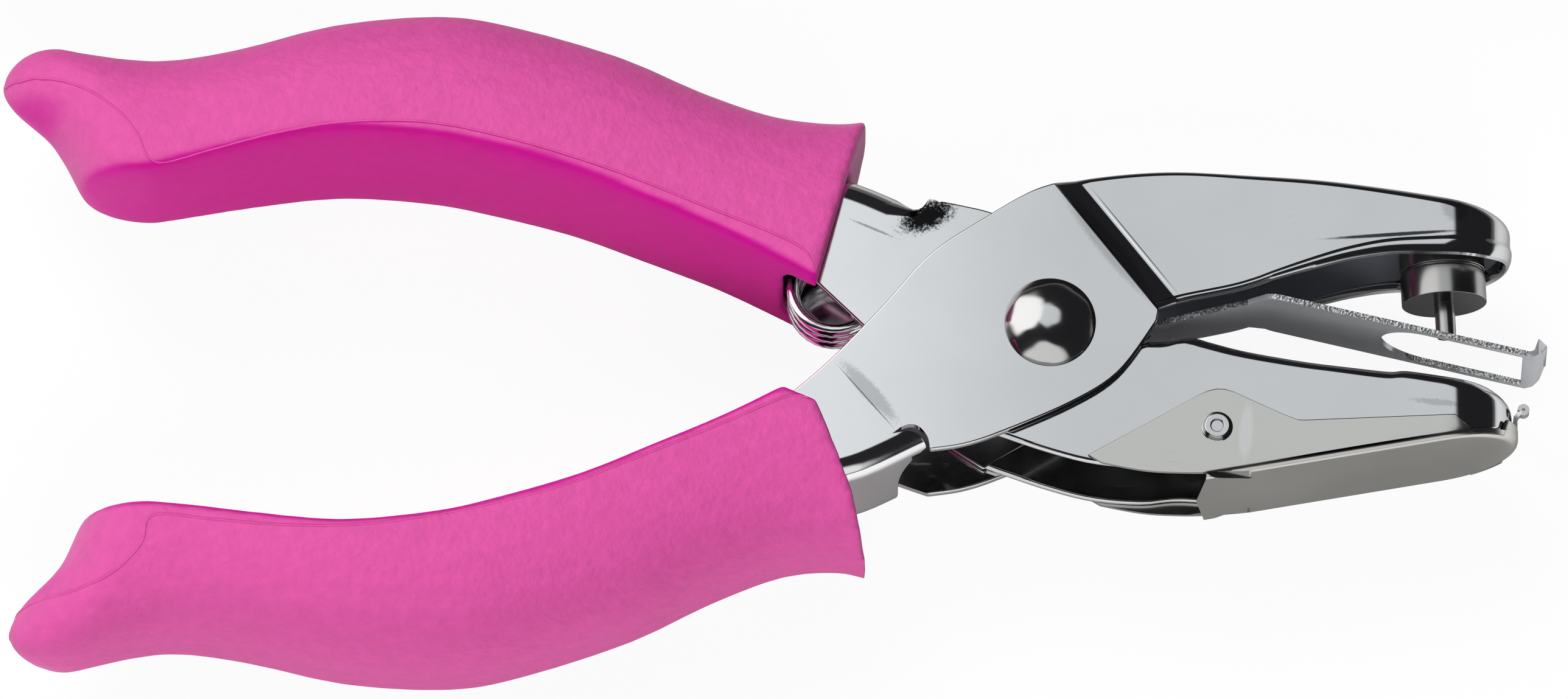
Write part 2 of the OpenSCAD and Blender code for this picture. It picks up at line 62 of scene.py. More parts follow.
# Floor: a plain pale table top under the tool. It stays white in the picture and takes
# only the tool's own shadow. A pool of light, pale round the tool, is painted into its colour
# and ends a little way off.
bpy.ops.object.select_all(action="DESELECT")
bpy.ops.mesh.primitive_plane_add(size=6, location=(0, 0, -0.4 * MM))
floor = bpy.context.object
floor.name = "table_top"
floor.data.transform(floor.matrix_world)
floor.matrix_world.identity()


def feed(tree, node, values):
    """Gives a node's inputs, by name or number, their values or the outputs they take."""
    for socket, value in dict(values).items():
        if isinstance(value, bpy.types.NodeSocket):
            tree.links.new(value, node.inputs[socket])
        else:
            node.inputs[socket].default_value = value


def add_node(tree, kind, values=(), **settings):
    """A new node with its settings, its inputs fed."""
    node = tree.nodes.new(kind)
    for setting, value in settings.items():
        setattr(node, setting, value)
    feed(tree, node, values)
    return node


def calc(tree, operation, *terms):
    """What a math node makes of its terms."""
    return add_node(tree, "ShaderNodeMath", enumerate(terms), operation=operation).outputs[0]


def ramp(tree, value, start, end, low=0, high=1, smooth=False):
    """Goes from low to high while the value goes from start to end."""
    node = add_node(tree, "ShaderNodeMapRange", {
        "Value": value, "From Min": start, "From Max": end, "To Min": low, "To Max": high,
    }, interpolation_type="SMOOTHSTEP" if smooth else "LINEAR")
    return node.outputs["Result"]


def vector_length(tree, vector):
    """The length of a vector."""
    node = add_node(tree, "ShaderNodeVectorMath", {0: vector}, operation="LENGTH")
    return node.outputs["Value"]


floor_paint = bpy.data.materials.new("table_white")
floor_paint.use_nodes = True
tree = floor_paint.node_tree
tree.nodes.clear()
# Painted light: the floor's colour is pale within a wide oval round the tool and dark beyond it.
from_painted_pool = add_node(tree, "ShaderNodeVectorMath", {
    0: add_node(tree, "ShaderNodeTexCoord").outputs["Object"], 1: (0.3, 1, 0),
    2: (0.005, 0.07, 0),
}, operation="MULTIPLY_ADD")
painted_light_pool = ramp(tree, vector_length(tree, from_painted_pool.outputs["Vector"]), 0.09, 0.15, 0.85, 0.1, True)
table_lit = add_node(tree, "ShaderNodeBsdfDiffuse", {"Color": painted_light_pool})
table_glow = add_node(tree, "ShaderNodeEmission", {"Color": (1, 1, 1, 1)})
path = add_node(tree, "ShaderNodeLightPath")
table_mix = add_node(tree, "ShaderNodeMixShader", {
    "Fac": calc(tree, "MULTIPLY", path.outputs["Is Camera Ray"], 0.93),
    1: table_lit.outputs[0], 2: table_glow.outputs[0]})
add_node(tree, "ShaderNodeOutputMaterial", {"Surface": table_mix.outputs[0]})
floor.data.materials.append(floor_paint)

# Light: a dim room with a pale card over the tool, one low in front of it and a soft
# window to the upper left, so flat plated faces are pale and their folds dark. Two soft
# lamps give the rest of the plain level and aren't seen in the steel.


def mix_colours(tree, share, first, second):
    """A colour between two others."""
    node = add_node(tree, "ShaderNodeMix", {"Factor": share, 6: first, 7: second},
                    data_type="RGBA")
    return node.outputs[2]


world = bpy.data.worlds.new("pale_room")
bpy.context.scene.world = world
world.use_nodes = True
tree = world.node_tree
look_way = add_node(tree, "ShaderNodeTexCoord").outputs["Generated"]
room_light = (0.018, 0.018, 0.02, 1)
for aim, start, full, level in (
    ((-0.05, 0.33, 0.94), 0.91, 0.955, (0.78, 0.805, 0.825, 1)),
    ((-0.74, 0.42, 0.55), 0.74, 0.86, (1.3, 1.3, 1.3, 1)),
    ((-0.15, -0.95, 0.2), 0.73, 0.83, (0.8, 0.8, 0.8, 1)),
):
    toward = add_node(tree, "ShaderNodeVectorMath", {
        0: look_way, 1: Vector(aim).normalized()}, operation="DOT_PRODUCT")
    card = ramp(tree, toward.outputs["Value"], start, full, smooth=True)
    room_light = mix_colours(tree, card, room_light, level)
feed(tree, tree.nodes["Background"], {"Color": room_light})
for lamp_name, spot, power in (("key_lamp", (-0.4, 0.85, 1.15), 13.5),
                               ("fill_lamp", (0.1, -1.0, 0.95), 10.5)):
    lamp_data = bpy.data.lights.new(lamp_name, "AREA")
    lamp_data.size = 0.7
    lamp_data.energy = power
    lamp = bpy.data.objects.new(lamp_name, lamp_data)
    lamp.location = spot
    lamp.rotation_euler = (-Vector(spot)).to_track_quat("-Z", "Y").to_euler()
    lamp.visible_glossy = False
    bpy.context.collection.objects.link(lamp)

# Upper lever: one folded sheet of plated steel. Its cheeks lie outside the lower lever's,
# a bend steps the jaw in between them, and the jaw is a pressed channel with a round nose.
# The folds are rolled round, as a press leaves them. The punch is riveted in its web.
RIVET_X, RIVET_Y, MID_Z = 25.7193 * MM, 0.5925 * MM, 11.4 * MM


def from_rivet(x, y, z):
    """A place in metres, from its millimetres from the rivet and the middle plane."""
    return RIVET_X + x * MM, RIVET_Y + y * MM, MID_Z + z * MM


def noise(tree, place, scale, detail=2):
    """A noise texture's grey."""
    node = add_node(tree, "ShaderNodeTexNoise", {
        "Vector": place, "Scale": scale, "Detail": detail})
    return node.outputs["Fac"]


plating = bpy.data.node_groups.new("plating_wear_and_painted_shade", "ShaderNodeTree")
for socket, kind, value in (
    ("Position", "NodeSocketVector", None), ("Tint", "NodeSocketColor", (0.8, 0.8, 0.8, 1)),
    ("Dull", "NodeSocketColor", (0.7, 0.7, 0.7, 1)), ("Rough", "NodeSocketFloat", 0.1),
    ("Wave", "NodeSocketFloat", 0.02 * MM), ("Swell", "NodeSocketFloat", 60),
):
    made = plating.interface.new_socket(socket, in_out="INPUT", socket_type=kind)
    if value is not None:
        made.default_value = value
for socket, kind in (("Color", "NodeSocketColor"), ("Roughness", "NodeSocketFloat"),
                     ("Normal", "NodeSocketVector")):
    plating.interface.new_socket(socket, in_out="OUTPUT", socket_type=kind)
given = add_node(plating, "NodeGroupInput").outputs
cloud = noise(plating, given["Position"], 140, 5)
hairlines = add_node(plating, "ShaderNodeMapping", {
    "Vector": given["Position"], "Rotation": (0, 0, 0.7), "Scale": (300, 3200, 900)})
scuff = ramp(plating, noise(plating, hairlines.outputs["Vector"], 1, 3), 0.62, 0.75)
patch = ramp(plating, noise(plating, given["Position"], 95), 0.58, 0.7)
along = add_node(plating, "ShaderNodeSeparateXYZ", {0: given["Position"]})
# Painted shade: the plating's colour is darkened from the handles towards the jaws.
painted_shade_toward_jaws = ramp(plating, along.outputs["X"], 2 * MM, 30 * MM, 1, 0.74, smooth=True)
shaded = add_node(plating, "ShaderNodeVectorMath", {
    0: mix_colours(plating, cloud, given["Dull"], given["Tint"]), "Scale": painted_shade_toward_jaws,
}, operation="SCALE")
gloss = ramp(plating, cloud, 0.25, 0.75, calc(plating, "MULTIPLY", given["Rough"], 0.75),
             calc(plating, "MULTIPLY", given["Rough"], 1.35))
scuffed = calc(plating, "MULTIPLY", scuff, patch)
waves = add_node(plating, "ShaderNodeBump", {
    "Height": noise(plating, given["Position"], given["Swell"], 1), "Strength": 1,
    "Distance": given["Wave"]})
add_node(plating, "NodeGroupOutput", {
    "Color": shaded.outputs["Vector"], "Normal": waves.outputs["Normal"],
    "Roughness": calc(plating, "MULTIPLY_ADD", scuffed, 0.22, gloss)})


def steel_look(name, tint, rough, wave, swell=60, metal=1, painted_light_and_wear=()):
    """Plated or turned steel, with the plating's own values for this finish, its colour darkened
    towards the jaws as painted shade.
    Each mark is an oval, most of them painted shade and painted highlights: middle, half sizes,
    turn, tone, depth and how speckled."""
    paint = bpy.data.materials.new(name)
    paint.use_nodes = True
    tree = paint.node_tree
    place = add_node(tree, "ShaderNodeTexCoord").outputs["Object"]
    wear_and_painted_shade = add_node(tree, "ShaderNodeGroup", {
        "Position": place, "Tint": (*tint, 1), "Dull": (*[c * 0.9 for c in tint], 1),
        "Rough": rough, "Wave": wave * MM, "Swell": swell}, node_tree=plating)
    colour = wear_and_painted_shade.outputs["Color"]
    speckle = noise(tree, place, 4200, 1) if painted_light_and_wear else None
    for (x, y), (length, width), turn, tone, depth, grit in painted_light_and_wear:
        oval = add_node(tree, "ShaderNodeMapping", {
            "Vector": place, "Location": (RIVET_X + x * MM, RIVET_Y + y * MM, 0),
            "Rotation": (0, 0, math.radians(turn)), "Scale": (length * MM, width * MM, 1),
        }, vector_type="TEXTURE")
        reach = vector_length(tree, oval.outputs["Vector"])
        frayed = calc(tree, "MULTIPLY_ADD", speckle, grit, reach)
        mark = ramp(tree, frayed, 1 + grit * 0.5, 0.55 + grit * 0.4, 0, depth, smooth=True)
        colour = mix_colours(tree, mark, colour, (tone, tone, tone * 1.05, 1))
    feed(tree, tree.nodes["Principled BSDF"], {
        "Metallic": metal, "Specular Tint": (0.4, 0.4, 0.4, 1), "Base Color": colour,
        "Roughness": wear_and_painted_shade.outputs["Roughness"], "Normal": wear_and_painted_shade.outputs["Normal"]})
    return paint


def select_only(piece):
    """Leaves one piece selected and active."""
    bpy.ops.object.select_all(action="DESELECT")
    piece.select_set(True)
    bpy.context.view_layer.objects.active = piece


def modify(piece, kind, **settings):
    """Works a piece with one modifier, and applies it."""
    select_only(piece)
    step = piece.modifiers.new(kind.lower(), kind)
    for setting, value in settings.items():
        setattr(step, setting, value)
    bpy.ops.object.modifier_apply(modifier=step.name)


def take_copy(node, name):
    """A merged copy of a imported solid, alone in its own object, selected and active."""
    copy = bpy.data.objects.new(name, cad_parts[node].data.copy())
    bpy.context.collection.objects.link(copy)
    select_only(copy)
    bpy.ops.object.mode_set(mode="EDIT")
    bpy.ops.mesh.select_all(action="SELECT")
    bpy.ops.mesh.remove_doubles(threshold=0.001 * MM)
    bpy.ops.mesh.dissolve_limited(angle_limit=math.radians(0.4))
    bpy.ops.mesh.select_all(action="DESELECT")
    bpy.ops.object.mode_set(mode="OBJECT")
    return copy


def as_piece(shape, name):
    """An object of its own from a worked shape."""
    mesh = bpy.data.meshes.new(name)
    shape.to_mesh(mesh)
    shape.free()
    piece = bpy.data.objects.new(name, mesh)
    bpy.context.collection.objects.link(piece)
    return piece


def drawn_line(points, steps=8):
    """A smooth line through points of the side view, from the rivet, in millimetres."""
    line = []
    for i in range(len(points) - 1):
        a, b = points[max(i - 1, 0)], points[i]
        c, d = points[i + 1], points[min(i + 2, len(points) - 1)]
        for k in range(steps):
            t = k / steps
            line.append([0.5 * (2 * b[n] + (c[n] - a[n]) * t
                         + (2 * a[n] - 5 * b[n] + 4 * c[n] - d[n]) * t * t
                         + (3 * b[n] - a[n] - 3 * c[n] + d[n]) * t ** 3)
                         for n in range(len(b))])
    return line + [list(points[-1])]


def height_at(line, x):
    """Height of a drawn line at x. The line runs from its small x to its large x."""
    for (xa, ya), (xb, yb) in zip(line, line[1:]):
        if x <= xb:
            return ya + (yb - ya) * (x - xa) / (xb - xa)
    (xa, ya), (xb, yb) = line[-2:]
    return yb + (yb - ya) * (x - xb) / (xb - xa)


REACH, JAW_HALF, SHEET = 37, 6.35, 1.0
FOLD_STEPS = 7


def channel_section(spot, crown, edge, up, fold, thick, lip):
    """The channel's section at one place, as how far out and how high each point is: from
    the web's inside over the inner fold, round the free edge, up the wall and over the
    outer fold. Then the height of the free edge, and how far the web is above it."""
    x = spot(0, 0).x
    radius, low = fold(x), edge(x)
    inner_radius = max(radius - thick, 0.25)
    flare, bead, rise = lip(x)
    quarter = [math.radians(90 * k / FOLD_STEPS) for k in range(FOLD_STEPS + 1)]
    section = []
    for a in reversed(quarter):
        out = -thick - inner_radius * (1 - math.cos(a))
        y = crown(spot(out, 1).x) - up * (thick + inner_radius * (1 - math.sin(a)))
        section.append((out, y))
    for k in range(7):
        a = math.radians(180 + 30 * k)
        out = (flare - thick) / 2 + (flare + thick) / 2 * math.cos(a)
        section.append((out, low + up * (bead + bead * math.sin(a))))
    for k in range(1, 7):
        t = k / 7
        section.append((flare * (1 - t * t * (3 - 2 * t)), low + up * (bead + rise * t)))
    start, end = low + up * (bead + rise), crown(spot(0, 1).x) - up * radius
    section += [(0, start + (end - start) * t) for t in (0.34, 0.67)]
    for a in quarter:
        out = -radius * (1 - math.cos(a))
        section.append((out, crown(spot(out, 1).x) - up * radius * (1 - math.sin(a))))
    return section, low, crown(spot(-radius, 1).x) - low


def press_channel(name, crown, edge, rear, up, fold, thick, half, nose_x, lip, bend=()):
    """A pressed channel with a round nose. crown and edge give the heights of its web and
    of its free edge at x, fold its fold's radius there, and lip the free edge's flare, its
    half height and how far up the flare goes. rear is where it starts, at the crown and at
    the edge, and bend has the places behind that with their steps out. up is 1 where the
    web is on top, and -1 where it is below."""
    run_steps, nose_steps = 48, 24
    walls = list(bend)
    for k in range(run_steps + 1):
        share = 1 - (1 - k / run_steps) ** 1.2
        walls.append([start + share * (nose_x - start) for start in rear] + [0])
    stations = [(*wall, Vector((0, 0, 1))) for wall in walls]
    for k in range(1, nose_steps):
        a = math.radians(90 - 180 * k / nose_steps)
        stations.append((nose_x, nose_x, 0, Vector((math.cos(a), 0, math.sin(a)))))
    stations += [(*wall, Vector((0, 0, -1))) for wall in reversed(walls)]
    shape = bmesh.new()
    rings = []
    for crown_x, edge_x, step_out, way in stations:

        def spot(out, share_up):
            """Where the section's point is, by how far out it is and its share of the height."""
            hub = Vector((edge_x, 0, 0)).lerp(Vector((crown_x, 0, 0)), share_up)
            return hub + way * (half + out + step_out)

        section, low, span = channel_section(spot, crown, edge, up, fold, thick, lip)
        ring = []
        for out, y in section:
            p = spot(out, min(max((y - low) / span, 0), 1))
            ring.append(shape.verts.new(from_rivet(p.x, y, p.z)))
        rings.append(ring)
    last, count = len(rings) - 1, len(rings[0])
    for a, b in zip(rings, rings[1:]):
        for j in range(count - 1):
            wall = shape.faces.new((a[j], a[j + 1], b[j + 1], b[j]))
            wall.material_index = 1 if j <= FOLD_STEPS else 0
    for j in (0, count - 1):
        for i in range(last // 2 - 1):
            shape.faces.new((rings[i][j], rings[i + 1][j], rings[last - i - 1][j],
                             rings[last - i][j]))
        shape.faces.new([rings[last // 2 + i][j] for i in (-1, 0, 1)])
    for end in (rings[0], rings[last]):
        for j in range(FOLD_STEPS):
            shape.faces.new((end[j], end[j + 1], end[count - 2 - j], end[count - 1 - j]))
        shape.faces.new(end[FOLD_STEPS:count - FOLD_STEPS])
    shape.faces.new((rings[0][0], rings[0][-1], rings[last][-1], rings[last][0]))
    bmesh.ops.recalc_face_normals(shape, faces=shape.faces)
    return as_piece(shape, name)


def press_lever(name, rest, web, inward, half, radius, near_end, far_end, crest, reach):
    """A folded sheet: two flat plates and the handle's web between them, with rolled
    folds. rest is the plates' outline from the handle's far end on to its notch; near_end
    and far_end are the two plates' outlines from there to the web's near end. crest, if
    any, is where the fold's formed corner ends above near_end; reach gives how far the
    web's near edge goes on at a height."""
    shape = bmesh.new()

    def vertex(x, y, z):
        return shape.verts.new(from_rivet(x, y, z))

    turns = [math.radians(90 * k / 8) for k in range(9)]
    roll = [(radius - radius * math.sin(t), half - radius + radius * math.cos(t))
            for t in turns]
    rows = roll + [(0, (half - radius) * (1 - k / 4)) for k in range(1, 8)]
    rows += [(depth, -z) for depth, z in reversed(roll)]
    grid = []
    for n, (depth, z) in enumerate(rows):
        row = []
        if crest and n < len(roll):
            share, drop = math.sin(turns[n]), 1 - math.cos(turns[n])
            for (ox, oy), (cx, cy, cz) in zip(near_end, crest):
                row.append(vertex(ox + (cx - ox) * share, oy + (cy - oy) * share,
                                  half + (cz - half) * drop))
        for i, (x, y) in enumerate(web):
            a, b = web[max(i - 1, 0)], web[min(i + 1, len(web) - 1)]
            way = Vector((b[0] - a[0], b[1] - a[1])).normalized()
            along = reach(z, depth / radius) * max(1 - i / 4, 0)
            row.append(vertex(x - way.y * inward * depth - way.x * along,
                              y + way.x * inward * depth - way.y * along, z))
        grid.append(row)
    for a, b in zip(grid, grid[1:]):
        count = min(len(a), len(b))
        a, b = a[-count:], b[-count:]
        for i in range(count - 1):
            shape.faces.new((a[i], a[i + 1], b[i + 1], b[i]))
    near_plate = grid[0] + [vertex(x, y, half) for x, y in rest]
    if not crest:
        near_plate += [vertex(x, y, half) for x, y in near_end]
    shape.faces.new(near_plate)
    shape.faces.new(grid[-1] + [vertex(x, y, -half) for x, y in rest + far_end])
    bmesh.ops.recalc_face_normals(shape, faces=shape.faces)
    shape.faces.ensure_lookup_table()
    front = max(shape.faces, key=lambda f: f.calc_area())
    if front.normal.z * (front.calc_center_median().z - MID_Z) < 0:
        bmesh.ops.reverse_faces(shape, faces=shape.faces)
    piece = as_piece(shape, name)
    modify(piece, "SOLIDIFY", thickness=SHEET * MM, offset=-1)
    shape = bmesh.new()
    shape.from_mesh(piece.data)
    notch = Vector(from_rivet(*near_end[len(near_end) // 2], 0))
    rim = [e for e in shape.edges if len(e.link_faces) == 2 and e.is_convex
           and e.calc_face_angle(0) > math.radians(60)
           and ((e.verts[0].co + e.verts[1].co) / 2 - notch).xy.length > 2.2 * MM]
    bmesh.ops.bevel(shape, geom=rim, offset=0.2 * MM, offset_type="OFFSET", segments=4,
                    profile=0.5, affect="EDGES", clamp_overlap=False)
    shape.to_mesh(piece.data)
    shape.free()
    return piece


def finish_piece(piece, paint, body, angle=32, replaced=(), inside=None):
    """Smooth folds and flat walls, its plating, and what it rides on and stands for."""
    select_only(piece)
    bpy.ops.object.shade_smooth_by_angle(angle=math.radians(angle))
    modify(piece, "WEIGHTED_NORMAL", keep_sharp=True)
    sides = [face.material_index if inside else 0 for face in piece.data.polygons]
    piece.data.materials.clear()
    piece.data.materials.append(paint)
    if inside:
        piece.data.materials.append(inside)
    piece.data.polygons.foreach_set("material_index", sides)
    if replaced:
        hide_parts(*replaced)
    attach(piece, body)


def ease_edges(piece, width, angle=40):
    """Breaks the sharp edges of a piece by a small rounding."""
    modify(piece, "BEVEL", width=width, segments=4, limit_method="ANGLE",
           angle_limit=math.radians(angle), use_clamp_overlap=True)


def block(first, second):
    """A closed block between two outlines of as many points, in millimetres from the rivet."""
    shape = bmesh.new()
    ends = [[shape.verts.new(from_rivet(*point)) for point in outline]
            for outline in (first, second)]
    for i in range(len(first)):
        shape.faces.new((ends[0][i - 1], ends[0][i], ends[1][i], ends[1][i - 1]))
    shape.faces.new(ends[0])
    shape.faces.new(ends[1])
    bmesh.ops.recalc_face_normals(shape, faces=shape.faces)
    return as_piece(shape, "tool")


def combine(piece, tool, way="DIFFERENCE"):
    """Cuts a piece with a tool, or keeps what they share, and throws the tool away."""
    modify(piece, "BOOLEAN", solver="EXACT", operation=way, object=tool)
    bpy.data.objects.remove(tool)


chrome = steel_look("bright_chrome", (0.93, 0.935, 0.945), 0.10, 0.02)
struck_chrome = steel_look("struck_chrome", (0.93, 0.93, 0.92), 0.12, 0.35, 300)
dull_inside = steel_look("dull_inside", (0.60, 0.64, 0.72), 0.42, 0.02, metal=0.45)
pressed_chrome = steel_look("pressed_chrome", (0.95, 0.955, 0.96), 0.09, 0.04, painted_light_and_wear=(
    ((-16.95, -6.75), (4.6, 0.95), -48.5, 0.30, 0.5, 0.4),    # painted shade by the low handle's crease
    ((-17.27, -7.32), (4.9, 0.07), -49.6, 0.05, 0.8, 0.1),    # its painted dark line
    ((-11.5, 10.8), (3.4, 1.7), 24, 0.01, 1.0, 0.9),          # painted shade patch at the notch
    ((-16.6, 9.6), (2.7, 0.16), -23.6, 0.12, 0.6, 0.6),       # scratch behind the patch
    ((5.5, 7.6), (8.2, 1.3), -52.4, 0.25, 0.45, 0.3),         # shade before the jaw's step
    ((36.3, -7.5), (3.2, 0.4), -6, 0.2, 0.35, 0.8),           # dark oval under the die
    ((7.75, 8.25), (7.6, 0.10), -52.1, 1.0, 1.0, 0.0),        # painted highlight along the step
    ((7.95, 8.4), (7.6, 0.06), -52.1, 0.03, 0.9, 0.0),        # painted dark line beside it
    ((32.2, 9.0), (7.5, 0.24), 3.9, 0.02, 0.95, 0.15),        # painted dark line over the lip
    ((38.0, 11.7), (1.5, 1.7), 20, 0.3, 0.5, 0.3),            # shade at the nose
))
turned_steel = steel_look("turned_steel", (0.62, 0.61, 0.60), 0.22, 0.01)
satin_nickel = steel_look("satin_nickel", (0.90, 0.89, 0.85), 0.2, 0.03, painted_light_and_wear=(
    ((28.8, -12.05), (10.3, 0.14), 9.8, 0.01, 1.0, 0.1),      # painted dark line over the tray's fold
    ((18.3, -10.6), (3.4, 0.8), 86, 1.0, 0.2, 0.0),           # painted highlight down the wing
))

# Cuts through the upper handle and its grip: the free edge's x and y, then the crest's.
HANDLE_CUTS = (
    (-30.8, 9.2, -25.6, 22.0), (-37.7, 12.1, -32.6, 24.4), (-44.6, 15.2, -40.2, 27.8),
    (-52.8, 17.6, -50.4, 30.8), (-58.3, 18.6, -57.3, 31.8), (-66.8, 18.7, -67.2, 30.9),
    (-74.9, 17.5, -76.5, 28.5), (-80.4, 16.4, -84.6, 27.5))


def along_handle(share, first):
    """A line of the handle: its first points, then a share of the way through each cut."""
    return drawn_line(first + [(xe + (xc - xe) * share, ye + (yc - ye) * share)
                               for xe, ye, xc, yc in HANDLE_CUTS], 4)


def lower_side(points):
    """The lower handle is the upper one turned over, and opened by two degrees."""
    c, d = math.cos(math.radians(2)), math.sin(math.radians(2))
    return [(x * c + y * d, x * d - y * c + 0.8) for x, y in points]


CHEEK_OUT = 7.45
upper_top = drawn_line([(0.5, 13.9), (3.4, 14.6), (8, 15.15), (12.5, 15.3), (18.6, 15.0),
                        (25.5, 14.55), (32.3, 13.7), (39.15, 12.6), (42.2, 12.0), (44, 11.6)])
upper_low = drawn_line([(10.2, 1.3), (12.3, 2.3), (17.7, 3.5), (21.4, 4.7), (25.5, 5.9),
                        (28.8, 6.7), (32.5, 7.2), (37.5, 7.2), (41.35, 7.3), (43.35, 7.7),
                        (44, 7.9)])
low_web = lower_side(along_handle(0.624, [(-14.3, 13.2), (-17.8, 14.7), (-21.6, 15.7)]))
low_open = lower_side(along_handle(0.1164, [(-24.2, 6.6)]))


def low_reach(z, depth):
    """The lower web's near edge: cut straight, with a tongue that goes on by the fold."""
    if depth > 0:
        return 2.5 * math.sqrt(max(1 - depth * depth, 0)) if z > 0 else -0.4
    return -0.35 + 2.4 * min(max((z + 3) / 8.25, 0), 1) ** 2.5


low_notch = [tuple(p) for p in drawn_line([(-11.3, -12.1), (-11.5, -11.2), (-12.2, -10.3),
                                           (-13.1, -10.0), (-14.0, -10.3)], 4)][1:]
cheek_low = drawn_line([(10.2, 1.3), (10.1, 0.6), (9.6, -0.5), (6.3, -5), (1.9, -7.9),
                        (-4.6, -10.8), (-8.1, -12), (-11.3, -12.5)], 6)
cheek_up = drawn_line([low_open[0], (-20.4, -3.4), (-15.5, 1.9), (-11.1, 6.9), (-5.6, 10.7),
                       (-1.9, 12.9), (0.5, 13.8)], 6)
# The plates go down to the jaw along a straight step, from (0.5, 13.8) to (10.2, 1.3).
upper_cheeks = press_lever(
    "upper_lever_cheeks",
    rest=list(reversed(low_open)) + [tuple(p) for p in cheek_up[1:]]
    + [(0.5 + 9.7 * k / 6, 13.8 - 12.5 * k / 6) for k in range(1, 6)]
    + [tuple(p) for p in cheek_low],
    web=low_web, inward=-1, half=CHEEK_OUT, radius=2.2, near_end=low_notch,
    far_end=[(-13.0, -11.9)], crest=None, reach=low_reach)
finish_piece(upper_cheeks, pressed_chrome, "upper_lever", 28, ["upper_jaw_lever"])


def toward_nose(x, first=20, length=18):
    """Goes from 0 to 1 along a jaw, for what grows towards its nose."""
    return min(max((x - first) / length, 0), 1)


upper_jaw = press_channel(
    "upper_jaw_channel", crown=lambda x: height_at(upper_top, x),
    edge=lambda x: height_at(upper_low, x), rear=(2.7, 12.2), up=1,
    fold=lambda x: 0.6 + 0.5 * toward_nose(x), thick=SHEET, half=JAW_HALF, nose_x=REACH,
    lip=lambda x: (0.2 - 0.05 * toward_nose(x), 0.4 + 0.85 * toward_nose(x),
                   0.35 + 0.35 * toward_nose(x)),
    bend=((0.5, 10.2, 1.1), (2.3, 11.85, 0.1)))
finish_piece(upper_jaw, pressed_chrome, "upper_lever", 32,
             ["upper_jaw_lever"], dull_inside)

# Lower lever: the other folded sheet. Its cheeks lie between the upper lever's, and its jaw
# goes straight on from them, with the die in its web and the tray's pin through its walls.
lower_top = drawn_line([(9.5, -1.3), (11.7, -1.3), (13.3, -0.9), (15.1, -1.4), (18.5, -2.3),
                        (24, -3.3), (28, -3.8), (31.8, -4.2), (33.4, -4.1), (37, -4.6),
                        (40.6, -5.1), (44, -6.0)])
lower_low = drawn_line([(-6.2, -10.2), (-4.5, -10.8), (-0.2, -12.3), (4, -13.4), (8.6, -13.8),
                        (12, -13.5), (18.6, -13.6), (31, -11.46), (43.4, -9.3)])
high_web = along_handle(0.6, [(-14.3, 13.2), (-17.8, 14.7), (-21.6, 15.7)])
high_open = along_handle(0.06, [(-24.2, 6.6)])
high_notch = [(-11.3, 12.4), (-11.35, 12.0), (-11.5, 11.5), (-11.8, 11.0), (-12.2, 10.6),
              (-12.8, 10.35)]
high_crest = [(-11.35, 12.5, 6.1), (-11.7, 12.1, 5.8), (-12.0, 11.85, 5.5), (-12.4, 11.75, 5.2),
              (-12.9, 11.9, 4.7), (-13.5, 12.4, 4.1)]
cheek_back = drawn_line([(-24.2, 6.6), (-20.4, 2.9), (-15.6, -1.9), (-11.1, -6.9),
                         (-6.2, -10.4)], 6)
cheek_front = drawn_line([(9.5, -0.9), (8.9, 0.9), (6.1, 5), (1.9, 7.9), (-4.6, 10.9),
                          (-8.1, 11.9), (-11.7, 12.6)], 6)
lower_cheeks = press_lever(
    "lower_lever_cheeks",
    rest=list(reversed(high_open)) + [tuple(p) for p in cheek_back[1:]]
    + [tuple(p) for p in cheek_front[:-1]],
    web=high_web, inward=1, half=JAW_HALF, radius=3.0, near_end=high_notch,
    far_end=[(-12.3, 12.3)], crest=high_crest, reach=lambda z, depth: 0)
finish_piece(lower_cheeks, pressed_chrome, "lower_lever", 28, ["lower_jaw_lever"])
lower_jaw = press_channel(
    "lower_jaw_channel", crown=lambda x: height_at(lower_top, x),
    edge=lambda x: height_at(lower_low, x), rear=(9.5, -6.2), up=1,
    fold=lambda x: 1.0 + 0.4 * toward_nose(x), thick=SHEET, half=JAW_HALF, nose_x=REACH,
    lip=lambda x: (0, 0.3, 0.6))
DIE, SEAT_RADIUS, SEAT_DEPTH = Vector((37, -4.6, 0)), 3.0, 2.4
web_slope = math.radians(-8)
along_web = Vector((math.cos(web_slope), math.sin(web_slope), 0))
through_web = Vector((-along_web.y, along_web.x, 0))
die_seat = [DIE + SEAT_RADIUS * (along_web * math.cos(a) + Vector((0, 0, math.sin(a))))
            for a in (2 * math.pi * k / 64 for k in range(64))]
combine(lower_jaw, block([p - SEAT_DEPTH * through_web for p in die_seat],
                         [p + SEAT_DEPTH * through_web for p in die_seat]))
finish_piece(lower_jaw, pressed_chrome, "lower_lever", 32, ["lower_jaw_lever"])

# Rivet and spacer: a domed rivet holds the levers together and is swaged on the far side.
# The spacer on it keeps the cheeks apart.
for node, paint, finish in (("pivot_rivet", struck_chrome, "rivet"),
                            ("pivot_spacer", turned_steel, "spacer")):
    part = take_copy(node, node + "_turned")
    ease_edges(part, 0.12 * MM, 50)
    finish_piece(part, paint, "lower_lever", 30, [node])

# Punch: a turned collar with its tenon riveted in the upper jaw's web, and the hard pin
# that is fixed in it. Both are turned steel without plating.
for node, finish in (("punch_holder", "holder"), ("punch_pin", "pin")):
    part = take_copy(node, node + "_turned")
    ease_edges(part, 0.1 * MM, 50)
    finish_piece(part, turned_steel, "upper_lever", 30, [node])

# Die: a hard turned ring set in the lower jaw's web, in the seat that is cut for it. The
# pin goes through its hole.
die = take_copy("die_ring", "die_ring_turned")
finish_piece(die, turned_steel, "lower_lever", 30, ["die_ring"])

